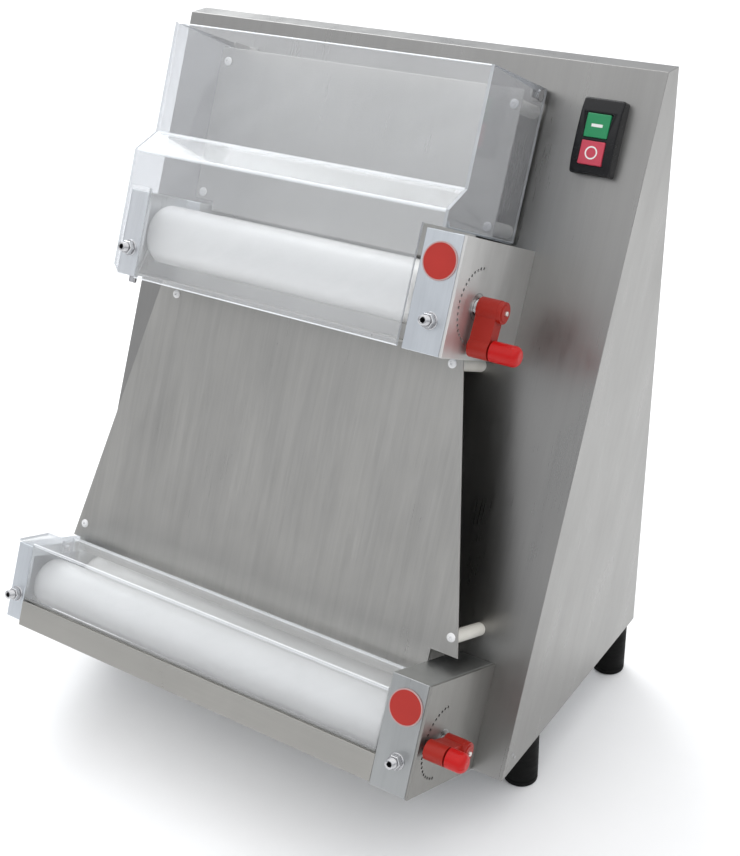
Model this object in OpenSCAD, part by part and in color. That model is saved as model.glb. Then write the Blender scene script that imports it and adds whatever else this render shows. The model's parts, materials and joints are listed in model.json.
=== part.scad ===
// Two-stage bench dough sheeter. Millimetres, +Z up, origin on the bench under the middle
// of the bounding box. The sloping front panel has its own frame: x across, n straight out
// of the panel, u up the slope, with n = 0 on its outer face and u = 0 at its bottom edge.

/* [Housing] */
// Width of the housing
body_w = 550; // [550:1:590]
// Height of the housing, without the feet
body_h = 613; // [613:1:650]
// Depth of the housing at its bottom
body_d = 304; // [300:1:330]
// Depth of the housing at its top
top_d = 24; // [18:1:26]
// Thickness of the housing sheet
sheet = 1.5; // [1.2:0.1:2]
// Height of the rubber feet
foot_h = 60; // [40:1:70]
// Radius of the rubber feet
foot_r = 17.5; // [14:0.5:20]

/* [Upper stage] */
// Roller radius of the upper stage
upper_roller_r = 30; // [28:0.5:30]
// Height of the upper roller axes up the slope
upper_axis_u = 437; // [434:1:440]
// Distance of the upper lever pivot from the panel
upper_axis_n = 94; // [93.5:0.5:96]
// Inner face of the upper left block
upper_left_x = -166; // [-175:1:-160]
// Inner face of the upper drive case
upper_right_x = 146; // [140:1:150]

/* [Lower stage] */
// Roller radius of the lower stage
lower_roller_r = 26; // [24:0.5:26]
// Height of the lower roller axes up the slope
lower_axis_u = 46; // [44:1:48]
// Distance of the lower lever pivot from the panel
lower_axis_n = 83; // [83:0.5:85]
// Inner face of the lower left block
lower_left_x = -245; // [-248:1:-235]
// Inner face of the lower drive case
lower_right_x = 201; // [195:1:205]

/* [Gap adjustment] */
// Throw of the eccentric gap shafts
throw = 2.25; // [1.5:0.05:2.25]
// Smallest gap between two rollers
min_gap = 0.5; // [0.4:0.1:0.8]
// Radius of the arc of index holes, and of the lever arm
index_r = 34.5; // [32:0.5:36]
// Number of index holes in each arc
index_count = 20; // [12:1:20]
// Radius of one index hole
index_hole_r = 1.5; // [1.3:0.1:1.6]
// Distance from the upper drive case to the tip of its knob
upper_knob_reach = 53; // [50:1:56]
// Distance from the lower drive case to the tip of its knob
lower_knob_reach = 44; // [42:1:50]

/* [Guards] */
// Thickness of the clear guard sheet
guard_t = 3; // [2:0.5:4]
// Distance of the upper guard's top part from the panel
guard_n = 117; // [112:1:120]
// Height of the upper guard's top edge up the slope
guard_top_u = 643; // [638:1:645]

/* [Hidden] */
$fn = 64;

// Stage numbers, used as indexes into the lists below
UPPER = 0;
LOWER = 1;

roller_r = [upper_roller_r, lower_roller_r];
axis_n = [upper_axis_n, lower_axis_n];
axis_u = [upper_axis_u, lower_axis_u];
left_x = [upper_left_x, lower_left_x];
right_x = [upper_right_x, lower_right_x];
left_t = [23, 19];
block_n = [140, 127.5];
left_u = [[391, 475], [6.5, 88]];
right_u = [[389, 496], [0, 107]];

lean = atan((body_d - top_d) / body_h);
fit = 0.05;
cover_t = 1.2;

// Drive case: inner plate, gears, pulley, outer wall and index plate, from the inner face out
case_w = 41;
plate_t = 6;
wall = 4;
outer_wall = 5;
index_t = 3;
left_front_t = 6;
left_bush_l = 4;
gear_x = 8;
gear_w = 12;
pulley_x = 21.2;
pulley_w = 10.6;

// Shafts
journal_r = 7.5;
gap_shaft_r = 11;
roller_shaft_r = 9;
bush_r = 10;
bearing_r = 13;
hub_r = 18;
hub_hole_r = 22;
end_gap = 4;

// Gears: both gears of a stage have the same teeth
teeth = 16;
addendum = 3;
dedendum = 3.5;

// Belts and pulleys
belt_r = 3;
groove_r = 3.3;
flange = 3;
roller_pulley_r = 21;
drive_pulley_r = 14;
transfer_pulley_r = 24;
transfer_x = 198;

// Motor axis above the housing's bottom front edge, and the layshaft in the panel frame
motor_y = 205;
motor_z = 90;
motor_n = motor_z * sin(lean) - motor_y * cos(lean);
motor_u = motor_z * cos(lean) + motor_y * sin(lean);
layshaft_n = -60;

// Levers: 0 degrees points up the slope, 90 points out of the panel
index_first = 4.5;
index_pitch = 171 / (index_count - 1);
lever_angle = [index_first + 171, index_first + 81];
lever_t = 20;
lever_gap = 4;
knob_r = 9.5;
knob_reach = [upper_knob_reach, lower_knob_reach];

// Adjusting screws: x and u of each
adjusters = [
    [upper_left_x - 11.5, 418, UPPER], [upper_right_x + 22.5, 418, UPPER],
    [lower_left_x - 9.5, 33.5, LOWER], [lower_right_x + 22.5, 30.5, LOWER]
];
adjuster_out = 14;
adjuster_r = 4.5;

// Clamp screw under the front wall of the upper left block
clamp_r = 3;
clamp_h = 6;

// Posts that hold the chutes off the panel: x, u and how far they stand out
upper_chute_n = 41;
lower_chute_n = 57;
chute_t = 1.5;
posts = [
    [153.5, 622, upper_chute_n], [153.5, 509, upper_chute_n],
    [-179, 622, upper_chute_n], [-179, 487, upper_chute_n],
    [157, 380, lower_chute_n], [-175, 378, lower_chute_n],
    [217, 134, lower_chute_n], [-240, 110, lower_chute_n]
];
post_r = 6.5;

// Guard hinges
upper_hinge = [20, 636];
lower_hinge = [76, 83];
guard_left_x = -193;
guard_right_x = 165;
shelf_n = 142;
shelf_u = [514, 535];
pin_r = 3;

// Switch
switch_x = [206.5, 246.5];
switch_u = [573, 642];
button_x = [215, 238];
start_u = [606, 627.5];
stop_u = [581.5, 603];

// Cable gland on the rear cover
gland = [-205, 42];
gland_out = 22;
cable_r = 4;

// Middle of the bounding box, measured in the housing's own frame
reach_x = lower_right_x + case_w + lower_knob_reach;
reach_y = (block_n[LOWER] + adjuster_out) * cos(lean)
    - (adjusters[3][1] - adjuster_r) * sin(lean);
mid_x = (reach_x - body_w / 2) / 2;
mid_y = (body_d + gland_out - reach_y) / 2;

// ---- frames and basic shapes ----

module body_frame() translate([-mid_x, -mid_y, foot_h]) children();
module panel_frame() body_frame() rotate([-lean, 0, 0]) children();

// Prism along x from a list of [y, z] points
module x_prism(x0, x1, points)
    translate([x0, 0, 0]) rotate([90, 0, 90]) linear_extrude(x1 - x0) polygon(points);

// Prism along x from a list of [n, u] points
module nu_prism(x0, x1, points) x_prism(x0, x1, [for (p = points) [-p[0], p[1]]]);

// Box in panel coordinates, from pairs of limits
module nu_box(x, n, u)
    translate([x[0], -n[1], u[0]]) cube([x[1] - x[0], n[1] - n[0], u[1] - u[0]]);

// Round bar along x through [n, u]
module x_rod(x0, x1, n, u, r) translate([x0, -n, u]) rotate([0, 90, 0]) cylinder(h = x1 - x0, r = r);

// Round bar standing out of the panel
module n_rod(x, u, n0, n1, r) translate([x, -n0, u]) rotate([90, 0, 0]) cylinder(h = n1 - n0, r = r);

// Turns a shape made round the z axis so that it lies along x through [n, u]
module along_x(x, n, u) translate([x, -n, u]) rotate([0, 90, 0]) children();

function front_n(s) = axis_n[s] + throw * cos(lever_angle[s]);
function front_u(s) = axis_u[s] - throw * sin(lever_angle[s]);
function rear_n(s) = axis_n[s] - 2 * roller_r[s] - min_gap - throw;
function pitch_r(s) = roller_r[s] + min_gap / 2;
function belt_x(s) = right_x[s] + pulley_x + pulley_w / 2;
function case_out(s) = right_x[s] + case_w;
function recess_x(s) = left_x[s] - left_t[s] + outer_wall;
function front_left(s) = recess_x(s) + 3.5;

// ---- housing ----

function inner_y(z) = z * tan(lean) + sheet / cos(lean);

module wedge() {
    inside_z = body_h - sheet;
    difference() {
        x_prism(-body_w / 2, body_w / 2,
            [[0, 0], [body_d, 0], [body_d, body_h], [body_d - top_d, body_h]]);
        x_prism(-body_w / 2 + sheet, body_w / 2 - sheet,
            [[inner_y(-1), -1], [body_d + 1, -1], [body_d + 1, inside_z], [inner_y(inside_z), inside_z]]);
    }
}

cover_screw_x = body_w / 2 - 9;
cover_screw_z = [40, 220, 400, 580];
cover_hole_r = 2.2;

// Holes of one side's cover screws, from the cover's outer face inwards
module cover_holes(side) for (z = cover_screw_z)
    translate([side * cover_screw_x, body_d + 1, z]) rotate([90, 0, 0]) cylinder(h = 5, r = cover_hole_r);

module rear_flange(side) {
    flange_w = 14;
    x = side > 0 ? body_w / 2 - sheet - flange_w : -body_w / 2 + sheet;
    difference() {
        translate([x, body_d - cover_t - sheet, 0]) cube([flange_w, sheet, body_h - sheet]);
        cover_holes(side);
    }
}

module belt_window(s, u0, u1)
    nu_box([right_x[s] + plate_t, right_x[s] + case_w - wall - index_t], [-sheet - 1, 1], [u0, u1]);

module housing_shell() color([0.70, 0.71, 0.72]) body_frame() difference() {
    union() {
        wedge();
        for (side = [-1, 1]) rear_flange(side);
    }
    rotate([-lean, 0, 0]) {
        belt_window(UPPER, upper_axis_u - 40, upper_axis_u + 40);
        belt_window(LOWER, 8, 99);
        nu_box([switch_x[0] + 6, switch_x[1] - 6], [-sheet - 1, 1], [switch_u[0] + 6, switch_u[1] - 6]);
    }
}

module vent_slot(x, z) {
    slot_l = 70;
    translate([x, body_d + 1, z]) rotate([90, 0, 0]) linear_extrude(cover_t + 2) {
        square([slot_l, 5], center = true);
        for (side = [-1, 1]) translate([side * slot_l / 2, 0]) circle(2.5);
    }
}

module rear_cover() color([0.72, 0.72, 0.72]) body_frame() {
    half = body_w / 2 - sheet - 0.4;
    difference() {
        translate([-half, body_d - cover_t, 1]) cube([2 * half, cover_t, body_h - sheet - 1.4]);
        for (x = [-110, 110], row = [0:7]) vent_slot(x, 350 + 14 * row);
        for (side = [-1, 1]) cover_holes(side);
        translate([gland[0], body_d + 1, gland[1]]) rotate([90, 0, 0]) cylinder(h = 4, r = 8.1);
    }
}

foot_places = [
    for (x = [-body_w / 2 + foot_r + 0.5, body_w / 2 - foot_r - 0.5], y = [75, body_d - foot_r - 2.5]) [x, y]
];
base_t = 2;
foot_sole = 25;

module base_plate() color([0.6, 0.61, 0.62]) body_frame() {
    half = body_w / 2 - sheet - 0.3;
    y0 = 6;
    y1 = body_d - cover_t - sheet - 0.3;
    difference() {
        union() {
            translate([-half, y0, 0]) cube([2 * half, y1 - y0, base_t]);
            for (x = [-half, half - base_t]) translate([x, 30, 0]) cube([base_t, y1 - 30, 16]);
            translate([-half, y1 - base_t, 0]) cube([2 * half, base_t, 16]);
        }
        for (p = foot_places) translate([p[0], p[1], -1]) cylinder(h = base_t + 2, r = 4.2);
        for (row = [0:5]) translate([-60, 90 + 16 * row, -1]) cube([120, 5, base_t + 2]);
    }
}

module feet() color([0.08, 0.08, 0.08]) body_frame()
    for (p = foot_places) translate([p[0], p[1], -foot_h]) difference() {
        union() {
            cylinder(h = 2, r1 = foot_r - 1.5, r2 = foot_r);
            translate([0, 0, 2]) cylinder(h = foot_h - 2, r = foot_r);
        }
        translate([0, 0, -1]) cylinder(h = foot_h - foot_sole + 1, r = 7);
        cylinder(h = foot_h + 1, r = 4.2);
    }

// Bolt from the foot's counterbore up through the base plate, with its nut
module foot_bolt() {
    ceiling = -foot_sole;
    head = 5.2;
    translate([0, 0, ceiling - head]) cylinder(h = head, r = 6.3);
    translate([0, 0, ceiling - head]) cylinder(h = head + foot_sole + base_t + 6, r = 4);
    translate([0, 0, base_t]) cylinder(h = 5.3, r = 6.5, $fn = 6);
}

module cover_screw() {
    translate([0, 0, -6]) cylinder(h = 6, r = 2);
    cylinder(h = 2.2, r = 3.8);
}

module housing_screws() color([0.75, 0.75, 0.76]) body_frame() {
    for (p = foot_places) translate([p[0], p[1], 0]) foot_bolt();
    for (side = [-1, 1], z = cover_screw_z)
        translate([side * cover_screw_x, body_d, z]) rotate([-90, 0, 0]) cover_screw();
}

module cable_gland() color([0.12, 0.12, 0.12]) body_frame()
    translate([gland[0], body_d, gland[1]]) rotate([-90, 0, 0]) difference() {
        union() {
            cylinder(h = 5, r = 12.5, $fn = 6);
            translate([0, 0, 5]) cylinder(h = gland_out - 9, r = 10);
            translate([0, 0, gland_out - 4]) cylinder(h = 4, r1 = 10, r2 = 7);
            translate([0, 0, -12]) cylinder(h = 12, r = 8);
        }
        translate([0, 0, -13]) cylinder(h = gland_out + 14, r = cable_r);
    }

// ---- motor and belts ----

module motor_axis(x) body_frame() translate([x, motor_y, motor_z]) rotate([0, 90, 0]) children();

module motor() color([0.25, 0.3, 0.36]) motor_axis(-135) {
    cylinder(h = 34, r1 = 56, r2 = 60);
    translate([0, 0, 34]) cylinder(h = 12, r = 60);
    translate([0, 0, 46]) cylinder(h = 128, r = 55);
    translate([0, 0, 174]) cylinder(h = 20, r = 58);
    for (a = [-45:15:225]) rotate([0, 0, a]) translate([54, -1.2, 48]) cube([5, 2.4, 124]);
}

module gearbox() color([0.45, 0.47, 0.49]) motor_axis(59.5) difference() {
    union() {
        translate([-48, -48, 0]) cube([96, 96, 74]);
        translate([0, 0, 74]) cylinder(h = 10, r = 26);
    }
    translate([0, 0, 50]) cylinder(h = 40, r = 9 + fit);
}

module motor_bracket() color([0.55, 0.55, 0.56]) body_frame() {
    top_z = motor_z - 48;
    for (y = [motor_y - 60, motor_y + 54]) translate([64, y, base_t]) cube([66, 6, top_z - base_t - 5]);
    translate([64, motor_y - 60, top_z - 5]) cube([66, 120, 5]);
    for (y = [motor_y - 74, motor_y + 60]) translate([64, y, base_t]) cube([66, 14, 4]);
}

module run_capacitor() color([0.86, 0.86, 0.84]) body_frame() translate([-200, 225, base_t]) {
    cylinder(h = 78, r = 20);
    translate([0, 0, 78]) cylinder(h = 6, r = 17);
    for (x = [-8, 4]) translate([x, -3, 84]) cube([1, 6, 9]);
}

// Grooved pulley round the z axis, from z = 0 to z = w, with a bore
module pulley(r, w, bore) difference() {
    cylinder(h = w, r = r + flange);
    translate([0, 0, -1]) cylinder(h = w + 2, r = bore);
    translate([0, 0, w / 2]) rotate_extrude() translate([r, 0]) {
        circle(groove_r);
        translate([0, -groove_r]) square([flange + 1, 2 * groove_r]);
    }
}

// Open belt in the plane x, round two pulleys at a and b, each given as [n, u, radius]
module belt_loop(x, a, b) {
    dx = a[1] - b[1];
    dy = a[0] - b[0];
    span = norm([dx, dy]);
    line = atan2(dy, dx);
    tangent = acos((a[2] - b[2]) / span);
    run = sqrt(span * span - pow(a[2] - b[2], 2));
    bite = 1;
    along_x(x, a[0], a[1]) {
        rotate(line + tangent) rotate_extrude(angle = 360 - 2 * tangent) translate([a[2], 0]) circle(belt_r);
        rotate(line) translate([span, 0, 0]) rotate(-tangent)
            rotate_extrude(angle = 2 * tangent) translate([b[2], 0]) circle(belt_r);
        for (side = [-1, 1]) rotate(line + side * tangent) translate([a[2], side * bite, 0])
            rotate([side * 90, 0, 0]) cylinder(h = run + 2 * bite, r = belt_r - 0.1);
    }
}

module motor_belt() color([0.05, 0.45, 0.2]) panel_frame()
    belt_loop(transfer_x, [motor_n, motor_u, transfer_pulley_r],
        [layshaft_n, upper_axis_u, transfer_pulley_r]);

module upper_belt() color([0.05, 0.45, 0.2]) panel_frame()
    belt_loop(belt_x(UPPER), [layshaft_n, upper_axis_u, drive_pulley_r],
        [rear_n(UPPER), upper_axis_u, roller_pulley_r]);

module lower_belt() color([0.05, 0.45, 0.2]) panel_frame()
    belt_loop(belt_x(LOWER), [motor_n, motor_u, drive_pulley_r],
        [rear_n(LOWER), lower_axis_u, roller_pulley_r]);

layshaft_x = [138, 214];

module layshaft_bracket() color([0.55, 0.55, 0.56]) panel_frame() difference() {
    union() {
        nu_box([layshaft_x[0], layshaft_x[1]], [-sheet - 4, -sheet], [upper_axis_u - 54, upper_axis_u + 54]);
        for (x = [layshaft_x[0], layshaft_x[1] - 6])
            nu_box([x, x + 6], [layshaft_n - 14, -sheet - 4], [upper_axis_u - 18, upper_axis_u + 18]);
    }
    nu_box([upper_right_x + plate_t, 183], [-sheet - 5, 0], [upper_axis_u - 36, upper_axis_u + 36]);
    x_rod(layshaft_x[0] - 1, layshaft_x[1] + 1, layshaft_n, upper_axis_u, journal_r + fit);
}

module layshaft() color([0.78, 0.78, 0.79]) panel_frame() {
    x_rod(layshaft_x[0] - 4, layshaft_x[1] + 4, layshaft_n, upper_axis_u, journal_r);
    along_x(belt_x(UPPER) - pulley_w / 2, layshaft_n, upper_axis_u)
        pulley(drive_pulley_r, pulley_w, journal_r - 1);
    along_x(transfer_x - pulley_w / 2, layshaft_n, upper_axis_u)
        pulley(transfer_pulley_r, pulley_w, journal_r - 1);
}

module drive_shaft() color([0.78, 0.78, 0.79]) {
    motor_axis(112) cylinder(h = lower_right_x + 34 - 112, r = 9);
    motor_axis(transfer_x - pulley_w / 2) pulley(transfer_pulley_r, pulley_w, 8);
    motor_axis(belt_x(LOWER) - pulley_w / 2) pulley(drive_pulley_r, pulley_w, 8);
}

// ---- end blocks of one stage ----

// Bores for the adjusting screws in the front of one block (side -1) or drive case (side 1)
module adjuster_bores(s, side)
    for (p = adjusters) if (p[2] == s && p[0] * side > 0)
        n_rod(p[0], p[1], block_n[s] - 10, block_n[s] + 1, 4 + fit);

// Block with a recess on its inner side, open below, that takes the end of the front roller
module left_block(s) panel_frame() difference() {
    room = roller_r[s] + throw + 2;
    nu_box([left_x[s] - left_t[s], left_x[s]], [0, block_n[s]], left_u[s]);
    nu_box([recess_x(s), left_x[s] + 1], [axis_n[s] - room, block_n[s] - left_front_t],
        [left_u[s][0] - 1, s == UPPER ? left_u[s][1] + 1 : axis_u[s] + room]);
    x_rod(recess_x(s) - left_bush_l, recess_x(s) + 1, axis_n[s], axis_u[s], bush_r);
    x_rod(left_x[s] - 10, left_x[s] + 1, rear_n(s), axis_u[s], bearing_r);
    adjuster_bores(s, -1);
    if (s == LOWER) x_rod(left_x[s] - 9, left_x[s] + 1, lower_hinge[0], lower_hinge[1], pin_r + fit);
}

module upper_left_block() color([0.74, 0.76, 0.78]) left_block(UPPER);
module lower_left_block() color([0.74, 0.76, 0.78]) left_block(LOWER);

// Open box: front, top, bottom and outer wall. The inner plate closes its inner side
module drive_case(s) panel_frame() difference() {
    nu_box([right_x[s], case_out(s) - index_t], [0, block_n[s]], right_u[s]);
    nu_box([right_x[s] - 1, case_out(s) - index_t - outer_wall], [-1, block_n[s] - wall],
        [right_u[s][0] + wall, right_u[s][1] - wall]);
    x_rod(case_out(s) - 20, case_out(s), axis_n[s], axis_u[s], bush_r);
    adjuster_bores(s, 1);
}

module upper_drive_case() color([0.74, 0.76, 0.78]) drive_case(UPPER);
module lower_drive_case() color([0.74, 0.76, 0.78]) drive_case(LOWER);

module inner_plates() color([0.76, 0.77, 0.78]) panel_frame() for (s = [UPPER, LOWER]) difference() {
    nu_box([right_x[s], right_x[s] + plate_t], [0, block_n[s] - wall],
        [right_u[s][0] + wall, right_u[s][1] - wall]);
    x_rod(right_x[s] - 1, right_x[s] + plate_t + 1, axis_n[s], axis_u[s], hub_hole_r);
    x_rod(right_x[s] - 1, right_x[s] + plate_t + 1, rear_n(s), axis_u[s], bearing_r);
    if (s == LOWER)
        x_rod(right_x[s] - 1, right_x[s] + plate_t + 1, lower_hinge[0], lower_hinge[1], pin_r + fit);
}

module index_plates() color([0.7, 0.7, 0.68]) panel_frame() for (s = [UPPER, LOWER]) difference() {
    nu_box([case_out(s) - index_t, case_out(s)], [0, block_n[s]], right_u[s]);
    x_rod(case_out(s) - index_t - 1, case_out(s) + 1, axis_n[s], axis_u[s], 8);
    for (i = [0:index_count - 1]) {
        a = index_first + i * index_pitch;
        x_rod(case_out(s) - index_t - 1, case_out(s) + 1,
            axis_n[s] + index_r * sin(a), axis_u[s] + index_r * cos(a), index_hole_r);
    }
}

module ring_x(x0, x1, n, u, r_out, r_in) difference() {
    x_rod(x0, x1, n, u, r_out);
    x_rod(x0 - 1, x1 + 1, n, u, r_in);
}

module gap_bushes() color([0.72, 0.55, 0.3]) panel_frame() for (s = [UPPER, LOWER]) {
    ring_x(recess_x(s) - left_bush_l, recess_x(s), axis_n[s], axis_u[s], bush_r, journal_r + fit);
    ring_x(case_out(s) - index_t - outer_wall, case_out(s) - index_t, axis_n[s], axis_u[s],
        bush_r, journal_r + fit);
}

module roller_bearings() color([0.6, 0.6, 0.61]) panel_frame() for (s = [UPPER, LOWER]) {
    ring_x(left_x[s] - 10, left_x[s] - 0.5, rear_n(s), axis_u[s], bearing_r, journal_r + fit);
    ring_x(right_x[s], right_x[s] + plate_t, rear_n(s), axis_u[s], bearing_r, journal_r + fit);
}

// Hollow set screw with a washer and a lock nut
module adjuster(x, u, n) difference() {
    union() {
        n_rod(x, u, n - 9, n, 4);
        n_rod(x, u, n, n + 1.5, 8);
        n_rod(x, u, n + 1.5, n + 7, 7);
        n_rod(x, u, n + 7, n + adjuster_out, adjuster_r);
    }
    n_rod(x, u, n + 4, n + adjuster_out + 1, 2.5);
}

module adjuster_screws() color([0.6, 0.6, 0.6]) panel_frame() {
    for (p = adjusters) adjuster(p[0], p[1], block_n[p[2]]);
    translate([upper_left_x - 4, -(block_n[UPPER] - clamp_r - 0.5), left_u[UPPER][0] - clamp_h])
        cylinder(h = clamp_h, r = clamp_r);
}

disc_u = [470, 80.5];
disc_r = 17.2;

module marker_discs() color([0.78, 0.2, 0.18]) panel_frame() for (s = [UPPER, LOWER]) {
    x = right_x[s] + 20;
    n_rod(x, disc_u[s], block_n[s], block_n[s] + 1.2, disc_r);
    n_rod(x, disc_u[s], block_n[s] + 1.2, block_n[s] + 1.6, disc_r - 1.3);
}

// ---- rollers, shafts and gears ----

module roller(x0, x1, r, bore) {
    round_r = 10;
    difference() {
        union() {
            translate([0, 0, x0 + round_r]) cylinder(h = x1 - x0 - 2 * round_r, r = r);
            translate([0, 0, x0]) cylinder(h = x1 - x0, r = r - round_r);
            for (z = [x0 + round_r, x1 - round_r]) translate([0, 0, z])
                rotate_extrude() translate([r - round_r, 0]) circle(round_r);
        }
        translate([0, 0, x0 - 1]) cylinder(h = x1 - x0 + 2, r = bore);
    }
}

module rear_roller(s) panel_frame() along_x(0, rear_n(s), axis_u[s])
    roller(left_x[s] + end_gap, right_x[s] - end_gap, roller_r[s], roller_shaft_r);

module front_roller(s) panel_frame() along_x(0, front_n(s), front_u(s))
    roller(front_left(s), right_x[s] - end_gap, roller_r[s], gap_shaft_r + fit);

module upper_rear_roller() color([0.95, 0.95, 0.94]) rear_roller(UPPER);
module lower_rear_roller() color([0.95, 0.95, 0.94]) rear_roller(LOWER);
module upper_front_roller() color([0.95, 0.95, 0.94]) front_roller(UPPER);
module lower_front_roller() color([0.95, 0.95, 0.94]) front_roller(LOWER);

module rear_shaft(s) panel_frame() {
    x_rod(left_x[s] - 9, right_x[s] + pulley_x + pulley_w, rear_n(s), axis_u[s], journal_r);
    x_rod(left_x[s] + 2, right_x[s] - 2, rear_n(s), axis_u[s], roller_shaft_r);
}

module upper_rear_shaft() color([0.8, 0.8, 0.81]) rear_shaft(UPPER);
module lower_rear_shaft() color([0.8, 0.8, 0.81]) rear_shaft(LOWER);

function polar(r, a) = [r * cos(a), r * sin(a)];
function half_angle(w, r) = asin(w / 2 / r);

// Outline of a gear with long, slim teeth, so that it stays in mesh over the whole gap range
function gear_points(pitch, phase) = [
    for (i = [0:teeth - 1], p = [
        [pitch - dedendum, -1.9], [pitch + addendum, -1.2], [pitch + addendum, 1.2], [pitch - dedendum, 1.9]
    ]) polar(p[0], phase + i * 360 / teeth + sign(p[1]) * half_angle(2 * abs(p[1]), p[0]))
];

module gear(x, n, u, pitch, phase, bore) along_x(x, n, u) linear_extrude(gear_w) difference() {
    polygon(gear_points(pitch, phase));
    circle(bore);
}

// The mesh line points along local y, from the rear gear to the front one
module rear_gear(s) panel_frame() {
    gear(right_x[s] + gear_x, rear_n(s), axis_u[s], pitch_r(s), -90, journal_r);
    along_x(right_x[s] + pulley_x, rear_n(s), axis_u[s]) pulley(roller_pulley_r, pulley_w, journal_r);
    ring_x(right_x[s] + gear_x + gear_w, right_x[s] + pulley_x, rear_n(s), axis_u[s], 14, journal_r);
}

module upper_rear_gear() color([0.9, 0.9, 0.88]) rear_gear(UPPER);
module lower_rear_gear() color([0.9, 0.9, 0.88]) rear_gear(LOWER);

// Half of the turn that the eccentric's sideways travel asks for is built into the front gear.
// A front gear has a hub that reaches through the inner plate to the end of its roller
module front_gear(s) {
    shift = throw / 2 / pitch_r(s) * 180 / PI;
    panel_frame() {
        bore = gap_shaft_r + fit;
        gear(right_x[s] + gear_x, front_n(s), front_u(s), pitch_r(s), 90 + 180 / teeth + shift, bore);
        ring_x(right_x[s] - end_gap, right_x[s] + gear_x, front_n(s), front_u(s), hub_r, bore);
    }
}

module upper_front_gear() color([0.9, 0.9, 0.88]) front_gear(UPPER);
module lower_front_gear() color([0.9, 0.9, 0.88]) front_gear(LOWER);

// ---- gap shafts, levers and knobs ----

// Frame at a lever's pivot: +z along the lever arm, -y towards the eccentric's throw
module lever_frame(s) panel_frame() translate([0, -axis_n[s], axis_u[s]]) rotate([lever_angle[s], 0, 0])
    children();

module gap_shaft(s) lever_frame(s) {
    x_rod(recess_x(s) - left_bush_l + 0.2, recess_x(s) + 1, 0, 0, journal_r);
    x_rod(recess_x(s) + 0.3, case_out(s) - index_t - outer_wall - 0.5, throw, 0, gap_shaft_r);
    x_rod(case_out(s) - index_t - outer_wall - 1, case_out(s) + lever_gap + lever_t + 4, 0, 0, journal_r);
}

module upper_gap_shaft() color([0.8, 0.8, 0.81]) gap_shaft(UPPER);
module lower_gap_shaft() color([0.8, 0.8, 0.81]) gap_shaft(LOWER);

module lever(s) lever_frame(s) {
    x0 = case_out(s) + lever_gap;
    difference() {
        union() {
            translate([x0, 0, 0]) rotate([90, 0, 90]) linear_extrude(lever_t) {
                circle(10.5);
                translate([0, index_r]) circle(9.5);
                translate([-7.5, 0]) square([15, index_r]);
            }
            x_rod(x0, x0 + lever_t + 4, 0, 0, 10);
        }
        x_rod(x0 - 1, x0 + lever_t + 5, 0, 0, journal_r);
        x_rod(x0 - 1, x0 + lever_t + 5, 0, index_r, 3 + fit);
        translate([x0 + 12, 0, 0]) rotate([90, 0, 0]) cylinder(h = 12, r = 2.2);
    }
}

module upper_lever() color([0.70, 0.20, 0.16]) lever(UPPER);
module lower_lever() color([0.70, 0.20, 0.16]) lever(LOWER);

// Knob with a stem through the lever and an index pin on the stem's end
module knob(s) lever_frame(s) {
    x0 = case_out(s);
    under = lever_gap + lever_t + 1.8;
    pin_gap = 0.3;
    dome = 6;
    along_x(x0, 0, index_r) {
        translate([0, 0, pin_gap]) cylinder(h = lever_gap - pin_gap + 1, r = index_hole_r - 0.15);
        translate([0, 0, lever_gap]) cylinder(h = under - lever_gap + 1, r = 3);
        translate([0, 0, under]) cylinder(h = knob_reach[s] - under - dome, r = knob_r);
        translate([0, 0, knob_reach[s] - dome]) rotate_extrude() intersection() {
            translate([knob_r - dome, 0]) circle(dome);
            square([knob_r, dome]);
        }
        translate([0, 0, knob_reach[s] - dome]) cylinder(h = dome, r = knob_r - dome);
    }
}

module upper_knob() color([0.82, 0.16, 0.18]) knob(UPPER);
module lower_knob() color([0.82, 0.16, 0.18]) knob(LOWER);

// ---- scrapers ----

scraper_t = 1.5;

function blade_n(s) = 0.4 * roller_r[s];
function blade_u(s) = -sqrt(pow(roller_r[s], 2) - pow(blade_n(s), 2)) - 0.8;

module hanger(s, x, ring_r, bore) difference() {
    union() {
        x_rod(x, x + 2, front_n(s), front_u(s), ring_r);
        nu_prism(x, x + 2, [for (p = [
            [-8, 0], [9, 0], [blade_n(s) + 13, -roller_r[s] - 14], [blade_n(s) - 1, -roller_r[s] - 14]
        ]) [front_n(s) + p[0], front_u(s) + p[1]]]);
    }
    x_rod(x - 1, x + 3, front_n(s), front_u(s), bore);
}

// The blade hangs on the eccentric part of the gap shaft, so it keeps its distance to the roller
module front_scraper(s) panel_frame() {
    x0 = recess_x(s) + 0.7;
    x1 = right_x[s] - 1.5;
    low = -roller_r[s] - 14;
    nu_prism(x0, x1, [for (p = [
        [blade_n(s), blade_u(s)], [blade_n(s) + scraper_t, blade_u(s)],
        [blade_n(s) + scraper_t, low + scraper_t], [blade_n(s) + 14, low + scraper_t],
        [blade_n(s) + 14, low], [blade_n(s), low]
    ]) [front_n(s) + p[0], front_u(s) + p[1]]]);
    hanger(s, x0, 16, gap_shaft_r + fit);
    hanger(s, x1 - 2, 22, hub_r + fit);
}

module upper_front_scraper() color([0.72, 0.72, 0.71]) front_scraper(UPPER);
module lower_front_scraper() color([0.72, 0.72, 0.71]) front_scraper(LOWER);

module rear_scrapers() color([0.72, 0.72, 0.71]) panel_frame() for (s = [UPPER, LOWER]) {
    n = rear_n(s) - blade_n(s);
    top = axis_u[s] + blade_u(s);
    low = axis_u[s] - roller_r[s] - 12;
    nu_prism(left_x[s] + 2, right_x[s] - 2, [
        [n, top], [n - scraper_t, top], [n - scraper_t, low + scraper_t], [scraper_t, low + scraper_t],
        [scraper_t, low + 10], [0, low + 10], [0, low], [n, low]
    ]);
}

// ---- chutes, posts and the front lip ----

module panel_plate(n, points)
    translate([0, -n, 0]) rotate([90, 0, 0]) linear_extrude(chute_t) polygon(points);

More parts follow.
